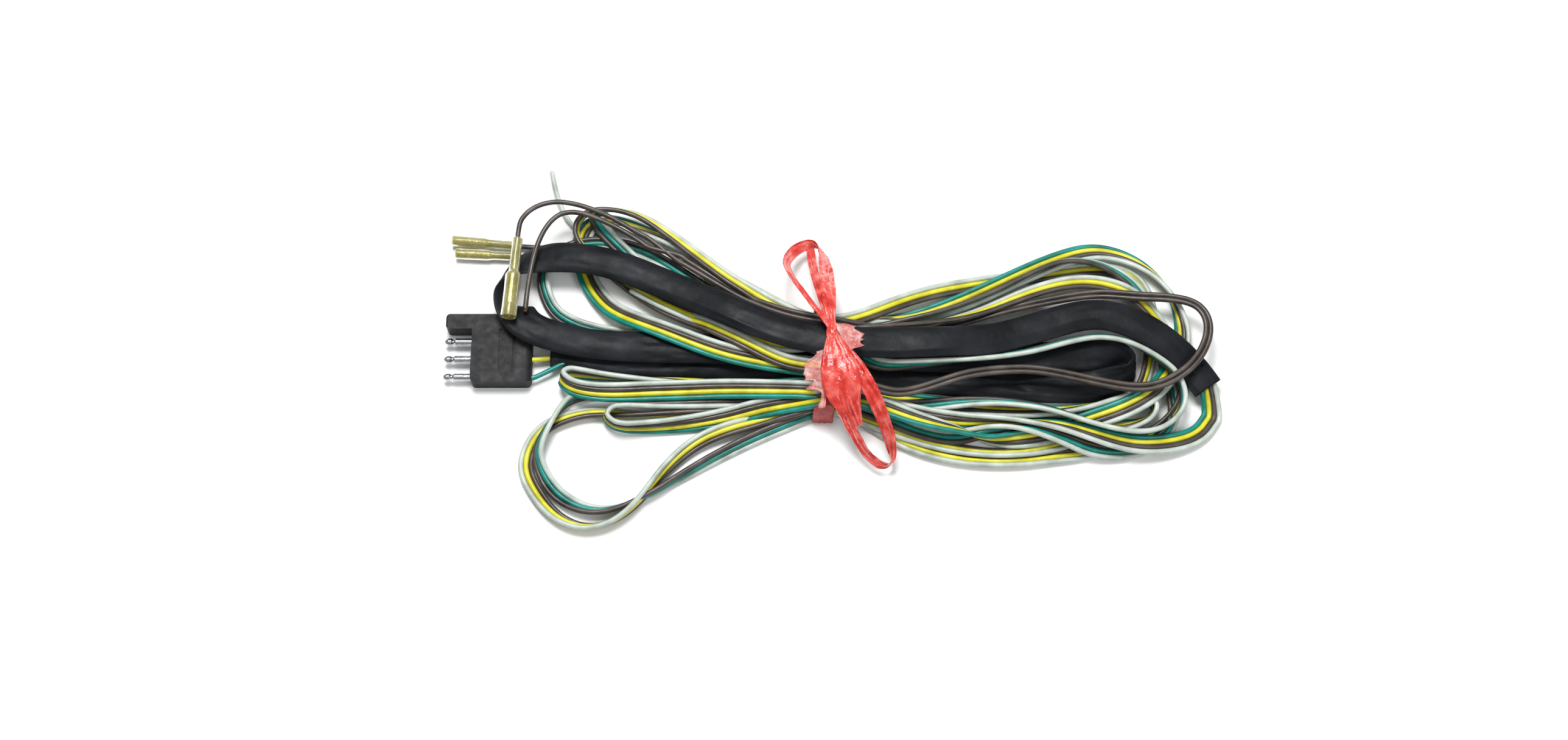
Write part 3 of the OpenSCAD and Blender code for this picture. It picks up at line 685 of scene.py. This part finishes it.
def sleeve_rings():
    """A flattened tube with pinched edges, soft dents and a few folds where it was bent."""
    line = refine(np.hstack([sleeve_group.centre(), sleeve_group.across]))
    centre, across = line[:, :3], unit(line[:, 3:])
    face = np.cross(tangents(centre), across)
    run = along(centre)
    dents = []
    turn = np.linspace(0, 2 * math.pi, SLEEVE_SIDES, endpoint=False)
    u = np.cos(turn)
    v = np.sign(np.sin(turn)) * np.abs(np.sin(turn)) ** 1.25
    bend = np.linalg.norm(np.gradient(tangents(centre), run, axis=0), axis=1)
    bend = np.convolve(bend, np.ones(15) / 15, "same")
    for i, s in enumerate(run):
        low_run = centre[i, 2] < LOW_RUN_Z
        folds = 0.6 + 0.9 * math.exp(-((centre[i, 0] - FOLDS_X) / FOLDS_LONG) ** 2)
        crumple = 0.2 + min(bend[i] * 16, 0.8) + folds * low_run
        dent = np.array([
            noise.fractal(Vector((s * 0.05, x * 0.9, y * 1.6 + 7)), 0.9, 2.1, 3)
            + 1.1 * (0.5 - abs(noise.noise(Vector((s * 0.03 + 3, x * 1.1 + 5, y * 1.5)))) * 2.4)
            for x, y in zip(u, v)
        ])
        dents.append(dent * crumple)
    dents = np.array(dents)
    half_w = SLEEVE_W / 2 - 0.25 + 0.5 * np.array([noise.noise(Vector((s * 0.03, 9, 4))) for s in run])
    thick = SLEEVE_T / 2 - 0.1
    height = v[None, :] * (thick - np.clip(0.35 + 0.75 * dents, 0, 1.15))
    least = np.where(np.abs(u) < 0.66, WIRE_R + 0.2, 0.25)[None, :]
    # the cut end stands a little open over the conductors
    near_end = np.exp(-(((run[-1] - run) / END_LONG) ** 2))[:, None]
    least = least + (np.abs(u) < 0.8)[None, :] * END_OPEN * near_end
    height = np.where(v[None, :] >= 0, np.maximum(height, least * (v[None, :] > 0.05)),
                      np.minimum(height, -least * (v[None, :] < -0.05)))
    # a long crease where the top run was once folded flat
    x = centre[:, 0]
    top_run = centre[:, 2] > TOP_RUN_Z
    for rise, edge_x in zip((1, -1), CREASE_X):
        top_run = top_run * np.clip((x - edge_x) * rise / 20, 0, 1)
    wander = -0.5 + 0.16 * np.sin(x / 41)
    crease = np.exp(-(((u[None, :] - wander[:, None]) / CREASE_WIDE) ** 2)) * (v[None, :] > 0.05)
    height = height + CREASE_HIGH * crease * (top_run * (0.6 + 0.4 * np.sin(x / 17)))[:, None]
    wide = u[None, :] * half_w[:, None]
    # the bunched inner edge where the tube folds north
    away = ((centre[:, :2] - BUNCH_XY) / BUNCH_LONG) ** 2
    bunch = np.exp(-away.sum(1)) * (centre[:, 2] > LOW_RUN_Z)
    inner = np.clip(u, 0, 1)[None, :]
    wide = wide + inner**3 * BUNCH_OUT * bunch[:, None]
    height = height + inner**2 * BUNCH_HIGH * bunch[:, None] * np.sign(v)[None, :]
    return centre, across, face, wide, height


def sleeve_piece():
    centre, across, face, wide, height = sleeve_rings()

    def ring(i, inset=0.0, back=0):
        j = min(max(i + back, 0), len(centre) - 1)
        w = wide[i] * (1 - inset / (SLEEVE_W / 2))
        h = height[i] - np.sign(height[i]) * np.minimum(np.abs(height[i]), inset)
        return centre[j] + w[:, None] * across[j] + h[:, None] * face[j]

    deep = int(MOUTH_DEEP / RING_STEP)
    last = len(centre) - 1
    first_mouth = [ring(0, SLEEVE_WALL, k) for k in range(deep, -1, -1)]
    body = [ring(i) for i in range(last + 1)]
    last_mouth = [ring(last, SLEEVE_WALL, -k) for k in range(0, deep + 1)]
    piece = wear(skin("flat_sleeve", np.array(first_mouth + body + last_mouth)), "black_sleeve")
    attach(piece, HARNESS)
    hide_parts("sleeve")
    return piece, centre


sleeve_piece()

# ---------------------------------------------------------------- bullet receptacles
# Bore radius, barrel length, shell length, metal's depth behind the mouth, narrow inner radius
SMALL = (2.05, 10.5, 36, 0.5, 1.95)
LARGE = (3.2, 17, 46, 7.5, 2.25)
KINDS = {"a": SMALL, "b": SMALL, "c": LARGE}
BARREL_WALL = 0.45
NECK_L = 2.0
CRIMP_L = 8.0
VINYL_OUT = 0.68
VINYL_WALL = 0.5
VINYL_TRAVEL = 7.5


def placed(piece, key):
    """Moves a piece made along X, from its shell's mouth, to where the receptacle's bore is."""
    bore = MOUNTS["bullet_" + key]
    inward = -Vector(bore["axis"])
    depth = KINDS[key][3] + bore["dims"]["length_mm"] / 2
    turn = Euler((0, -math.asin(inward.z), math.atan2(inward.y, inward.x))).to_matrix().to_4x4()
    piece.data.transform(Matrix.Translation(Vector(bore["pos_m"]) - inward * depth * MM) @ turn)
    return piece


def lathe(name, profile, sides=40, shape=None):
    """Turned about X through (x, radius) points; shape may press the radius in at (x, radius, angle)."""
    a = np.linspace(0, 2 * math.pi, sides, endpoint=False)
    rings = []
    for x, r in profile:
        radius = np.full(sides, float(r)) if shape is None else np.array([shape(x, r, t) for t in a])
        rings.append(np.stack([np.full(sides, float(x)), radius * np.cos(a), radius * np.sin(a)], axis=1))
    return skin(name, np.array(rings)[:, ::-1])


def ease(a, b, x):
    t = min(max((x - a) / (b - a), 0), 1)
    return t * t * (3 - 2 * t)


def vinyl_shell(key):
    bore, barrel_l, length, _, narrow = KINDS[key]
    wide = bore + BARREL_WALL + VINYL_OUT
    slim = narrow + VINYL_OUT - 0.08
    step = barrel_l + VINYL_TRAVEL + 0.6

    def outer(x):
        return wide + (slim - wide) * ease(step - 1.0, step + 2.4, x)

    def soft(x, r, t):
        dent = noise.noise(Vector((x * 0.09 + ord(key), math.cos(t) * 0.8, math.sin(t) * 0.8)))
        return r * (1 + 0.018 * dent + 0.012 * math.cos(2 * t) * ease(0, 8, 8 - x))

    xs = np.arange(0.6, length - 0.5, 0.8)
    profile = [(x, outer(x) - VINYL_WALL) for x in xs[::-1]]
    profile += [(0.25, wide - VINYL_WALL + 0.05), (0, wide - VINYL_WALL / 2), (0.25, wide - 0.05)]
    profile += [(x, outer(x)) for x in xs] + [(length - 0.2, slim - 0.06), (length, slim - VINYL_WALL / 2)]
    profile += [(length - 0.2, slim - VINYL_WALL + 0.05)]
    shell = wear(placed(ring_closed(f"vinyl_shell_{key}", profile, soft), key), "clear_vinyl")
    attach(shell, "shell_" + key)
    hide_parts("insulator_" + key)


def ring_closed(name, profile, shape, sides=40):
    """A tube with walls: the profile is a closed loop, turned about X."""
    a = np.linspace(0, 2 * math.pi, sides, endpoint=False)
    count = len(profile)
    points = [(x, shape(x, r, t) * math.cos(t), shape(x, r, t) * math.sin(t)) for x, r in profile for t in a]
    index = np.arange(count * sides).reshape(count, sides)
    down, turned = np.roll(index, -1, axis=0), np.roll(index, -1, axis=1)
    both = np.roll(down, -1, axis=1)
    faces = np.stack([index, down, both, turned], axis=-1).reshape(-1, 4)
    mesh = bpy.data.meshes.new(name)
    mesh.from_pydata((np.array(points) * MM).tolist(), [], faces.tolist())
    mesh.shade_smooth()
    return link(name, mesh)


def receptacle(key):
    """A rolled barrel with an open seam line, a locking dimple, a neck and a closed wire crimp."""
    bore, barrel_l, _, depth, _ = KINDS[key]
    out = bore + BARREL_WALL
    rear = depth + barrel_l
    crimp = WIRE_R + BARREL_WALL
    end = rear + NECK_L + CRIMP_L
    dimple_x = depth + barrel_l * 0.45

    def pressed(x, r, t):
        seam = math.exp(-((t - math.pi / 2) / 0.09) ** 2) * 0.3 * (x < rear)
        dimple = math.exp(-((x - dimple_x) / 0.9) ** 2 - ((t - 1.9) / 0.35) ** 2) * 0.4
        ears = math.exp(-((t - math.pi / 2) / 0.22) ** 2) * 0.45 * ease(rear + NECK_L, rear + NECK_L + 1, x)
        ribs = 0.12 * math.sin((x - rear) * 2.1) * (x > rear + NECK_L + 0.5) * (x < end - 0.5)
        return r if r < bore * 0.9 else r - seam - dimple - ears + ribs

    profile = [(rear - 1, 0.3), (rear - 0.9, bore)]
    profile += [(x, bore) for x in np.linspace(rear - 1.2, depth + 0.4, 8)]
    profile += [(depth, bore + 0.12), (depth, out - 0.1), (depth + 0.2, out)]
    profile += [(x, out) for x in np.linspace(depth + 0.6, rear - 0.5, 16)]
    profile += [(rear, out - 0.15), (rear + 0.5, 1.75), (rear + NECK_L - 0.4, 1.65)]
    profile += [(rear + NECK_L, crimp - 0.1)]
    profile += [(x, crimp) for x in np.linspace(rear + NECK_L + 0.3, end - 0.3, 14)]
    profile += [(end, crimp - 0.1), (end, WIRE_R - 0.2)]
    metal = lathe("receptacle_metal_" + key, profile, 40, pressed)
    wear(placed(metal, key), "tinned_brass")
    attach(metal, HARNESS)
    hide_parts("receptacle_" + key)


for key in KINDS:
    vinyl_shell(key)
    receptacle(key)

# ---------------------------------------------------------------- film tie
FILM = 0.3
TIE_PLACE = TIE_LOW[0] + 3
TIE_LOOK = 9.0  # either side of the band, to find the bundle's outline
BAND_SLACK = 0.35
KNOT_AT = (187, 1.0, 30.6)
KNOT_HALF = (3.6, 5.4, 2.9)
FLAP_THICK = 0.14


def bundle_outline(x_from, x_to, count=180):
    """A smooth closed outline (y, z) round everything between two stations, from +Y over the top."""
    spots = []
    for g in GROUPS:
        w = g.wires().reshape(-1, 3)
        near = w[(w[:, 0] > x_from) & (w[:, 0] < x_to)][:, 1:]
        spots.append(np.hstack([near, np.full((len(near), 1), g.radius)]))
    p = np.vstack(spots)
    a = np.linspace(0, 2 * math.pi, count, endpoint=False)
    reach = (p[:, :1] * np.cos(a) + p[:, 1:2] * np.sin(a) + p[:, 2:]).max(0)
    for _ in range(30):
        reach = reach / 2 + (np.roll(reach, 1) + np.roll(reach, -1)) / 4
    reach = reach + BAND_SLACK
    slope = (np.roll(reach, -1) - np.roll(reach, 1)) / (a[1] - a[0]) / 2
    outline = np.stack([reach * np.cos(a) - slope * np.sin(a), reach * np.sin(a) + slope * np.cos(a)], axis=1)
    outline[:, 1] = np.maximum(outline[:, 1], 0.2)
    return a, outline


def film_sheet(name, centre, across, out, width, pleats, lift, seed, thick=FILM, ragged=0.0, count=15):
    """A thin strip of film: pleated lengthwise, creased at random, with an edge that may be ragged."""
    u = np.linspace(-1, 1, count)
    rings = []
    for i, c in enumerate(centre):
        s = i * 0.35
        edge = 1 + ragged * noise.noise(Vector((s * 1.7, seed, 1))) + ragged * 0.7 * noise.noise(
            Vector((s * 5.3, seed, 8)))
        rise = np.array([
            math.sin(math.pi * pleats * x + 1.8 * noise.noise(Vector((s * 0.25, seed, 3)))) * 0.5
            + noise.noise(Vector((s * 0.5, x * pleats * 0.9, seed)))
            + 0.6 * noise.noise(Vector((s * 1.3, x * pleats * 2.1, seed + 5)))
            for x in u
        ]) * lift[i]
        line = c + (u * width[i] / 2 * edge)[:, None] * across[i] + rise[:, None] * out[i]
        rings.append(np.concatenate([line + out[i] * thick / 2, line[::-1] - out[i] * thick / 2]))
    return skin(name, np.array(rings))


def strip(name, route, pleats, lift, seed):
    """A strip along (x, y, z, roll, width) points."""
    line = spline(route, 1.2)
    across = laterals(line)
    out = np.cross(tangents(line), across)
    return film_sheet(name, line[:, :3], across, out, line[:, 4], pleats,
                      lift * np.minimum(line[:, 4] / 6, 1.3), seed), line[:, :3]


def tie_band():
    """Round the bundle: gathered under the knot, spread over the south side."""
    a, outline = bundle_outline(TIE_PLACE - TIE_LOOK, TIE_PLACE + TIE_LOOK)
    start = round(len(a) / 4)
    order = (start + np.arange(len(a) + 1)) % len(a)
    turn = np.linspace(0, 2 * math.pi, len(order))
    spread = np.sin(turn / 2)
    width = 4.5 + 6.5 * spread**0.6 + 2.0 * np.exp(-((turn - 1.2) / 0.5) ** 2)
    centre_x = TIE_PLACE + 5 - 5 * np.minimum(spread * 1.6, 1)
    centre = np.column_stack([centre_x, outline[order]])
    ahead = tangents(centre)
    across = np.tile([1.0, 0, 0], (len(order), 1))
    out = unit(np.cross(ahead, across))
    if out[0, 2] < 0:
        out = -out
    return film_sheet("tie_band_film", centre, across, out, width, 3.2, np.full(len(order), 0.34), 2.0)


def knot():
    """A small tight lump of film with pleats running into it from both bows."""
    rings = []
    for k in range(25):
        t = -1 + 2 * k / 24
        size = math.sqrt(max(1 - t * t, 0.02)) ** 0.7
        ring = []
        for j in range(36):
            a = 2 * math.pi * j / 36
            pleat = 1 + 0.1 * math.sin(7 * a + 3 * t) + 0.22 * noise.noise(
                Vector((math.cos(a) * 1.6, math.sin(a) * 1.6, t * 2.5)))
            waist = 0.82 + 0.25 * t * t
            r = size * pleat * waist
            spot = (r * math.cos(a), t, r * math.sin(a))
            ring.append([at + half * k for at, half, k in zip(KNOT_AT, KNOT_HALF, spot)])
        rings.append(ring)
    return skin("tie_knot_film", np.array(rings))


BOW_UPPER = [
    (186.5, 3, 31, 20, 3.2), (182, 9, 32, 35, 4.2), (175.5, 18, 32.5, 40, 5), (169, 28, 30, 45, 5.2),
    (164, 38, 26, 45, 5.4), (162.2, 46, 20.5, 40, 6), (165.5, 54, 14.5, 35, 6.6),
    (171, 59.5, 10.5, 35, 6.6), (177.5, 62, 8.5, 60, 6), (182, 57, 10, 120, 6.5),
    (183.6, 47, 16.5, 150, 7.5), (184.4, 35, 24, 160, 8.5), (185, 23, 30, 165, 8),
    (186, 11, 32.5, 170, 5.4), (187, 3.5, 31.5, 175, 3.4),
]
BOW_BACK = [
    (175.5, 59, 9, 30, 5), (176.3, 50, 14, 20, 4.8), (177.8, 38, 22, 10, 4.6), (180.2, 26, 28, 5, 4.4),
    (183.2, 14, 31, 0, 3.8), (186, 4, 31.2, 0, 3),
]
BOW_LOWER = [
    (187, -2.5, 31.5, 0, 3.6), (187.3, -9, 31.6, 5, 7.5), (187.6, -18, 31.2, 8, 9.5),
    (188.6, -29, 29.6, 14, 9), (192.6, -41, 25, 28, 8), (198, -51, 17.5, 40, 6.8),
    (204.5, -60, 11, 50, 6), (212, -66, 8, 45, 5.8),
    (218.6, -65, 8, 100, 6), (218, -56, 13.5, 140, 6.8), (213, -43, 23.5, 150, 7.6),
    (206.5, -30, 29.5, 160, 8.4), (199.5, -18, 31.4, 165, 8), (192.5, -8, 31.8, 170, 6),
    (188, -2, 32, 175, 3.4),
]
BOW_BODY = [
    (187, 1, 32.4, 0, 4.5), (187.6, -4, 33, 0, 9), (188.8, -10, 33.2, 0, 14.5), (190, -17, 33, 0, 19),
    (191, -24, 32, 4, 21), (192.4, -31, 30, 8, 20), (194.6, -37, 27, 14, 15), (198, -43, 23.4, 22, 9),
    (201, -48, 19.6, 28, 4),
]


def flap(name, corner, along_to, out_to, seed, rows=26, columns=14):
    """A thin crumpled patch of clear film with a ragged outer edge."""
    corner, along_to, out_to = (np.array(v, float) for v in (corner, along_to, out_to))
    up = unit(np.cross(along_to - corner, out_to - corner))
    up = up if up[2] > 0 else -up
    rings = []
    for i in range(rows):
        t = i / (rows - 1)
        ragged = 0.6 * noise.noise(Vector((t * 9, seed, 0))) + 0.3 * noise.noise(Vector((t * 31, seed, 2)))
        reach = (1 + ragged) * math.sin(math.pi * min(0.12 + 1.2 * t, 0.97)) ** 0.6
        line = []
        for j in range(columns):
            u = j / (columns - 1)
            q = corner + (along_to - corner) * t + (out_to - corner) * u * reach
            q = q + up * (0.9 * noise.noise(Vector((t * 4, u * 3.5, seed + 4)))
                          + 0.4 * noise.noise(Vector((t * 13, u * 9, seed + 6))))
            line.append(q)
        line = np.array(line)
        rings.append(np.concatenate([line + up * FLAP_THICK / 2, line[::-1] - up * FLAP_THICK / 2]))
    return skin(name, np.array(rings))


# The band wears the darker red film: painted shade for where it lies in shadow, with some darkening from its
# extra layers.
band = wear(tie_band(), "red_film", "layered_film_painted_shade")
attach(band, HARNESS)
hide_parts("tie_band")
knot_piece = wear(knot(), "red_film")
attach(knot_piece, HARNESS)
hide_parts("tie_knot")
for name, route, seed in (("back", BOW_BACK, 5.0), ("body", BOW_BODY, 61.0)):
    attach(wear(strip(f"tie_bow_{name}_film", route, 3.6, 0.5, seed)[0], "red_film"), HARNESS)
for name, route, seed in (("upper", BOW_UPPER, 11.0), ("lower", BOW_LOWER, 23.0)):
    piece, line = strip(f"tie_bow_{name}_film", route, 2.4, 0.5, seed)
    wear(piece, "red_film")
    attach(piece, HARNESS)
    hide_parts("tie_bow_" + name)
for name, corner, along_to, out_to, seed in (
    ("south", (185, -8, 31.6), (183, -39, 24.6), (172.5, -11, 29), 31.0),
    ("knot", (188, 5.5, 32.4), (197, -15, 32.8), (200.5, 6, 31), 47.0),
):
    piece = wear(flap("tie_frayed_" + name, corner, along_to, out_to, seed), "red_film", "frayed_film")
    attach(piece, HARNESS)


# ---------------------------------------------------------------- floor and light
floor_mesh = bpy.data.meshes.new("floor")
floor_mesh.from_pydata([(-4, -4, 0), (4, -4, 0), (4, 4, 0), (-4, 4, 0)], [], [(0, 1, 2, 3)])
floor = link("floor", floor_mesh)
floor.data.materials.append(finish_of("pale_floor", [(0.86, 0.86, 0.85), (0.9, 0.9, 0.89)], 3, (0.7, 0.8),
                                      [(400, 0.00002)]))
world = bpy.data.worlds.new("soft_room")
world.use_nodes = True
world_nodes, world_links = world.node_tree.nodes, world.node_tree.links
height = world_nodes.new("ShaderNodeSeparateXYZ")
world_links.new(world_nodes.new("ShaderNodeTexCoord").outputs["Generated"], height.inputs["Vector"])
sky = world_nodes.new("ShaderNodeValToRGB")
sky.color_ramp.elements[0].position = 0.05
sky.color_ramp.elements[0].color = (0.1, 0.105, 0.11, 1)
sky.color_ramp.elements[1].position = 0.75
sky.color_ramp.elements[1].color = (0.95, 0.98, 1.0, 1)
world_links.new(height.outputs["Z"], sky.inputs["Fac"])
world_links.new(sky.outputs["Color"], world_nodes["Background"].inputs["Color"])
world_nodes["Background"].inputs["Strength"].default_value = 0.55
bpy.context.scene.world = world


def soft_light(name, place, size, power):
    data = bpy.data.lights.new(name, "AREA")
    data.energy = power
    data.size = size
    lamp = bpy.data.objects.new(name, data)
    bpy.context.scene.collection.objects.link(lamp)
    lamp.location = place
    lamp.rotation_euler = (AIM - Vector(place)).to_track_quat("-Z", "Y").to_euler()


soft_light("ceiling_light", (0.05, 0.4, 1.2), 0.5, 19)
soft_light("side_light", (0.9, -0.5, 0.8), 0.5, 4)
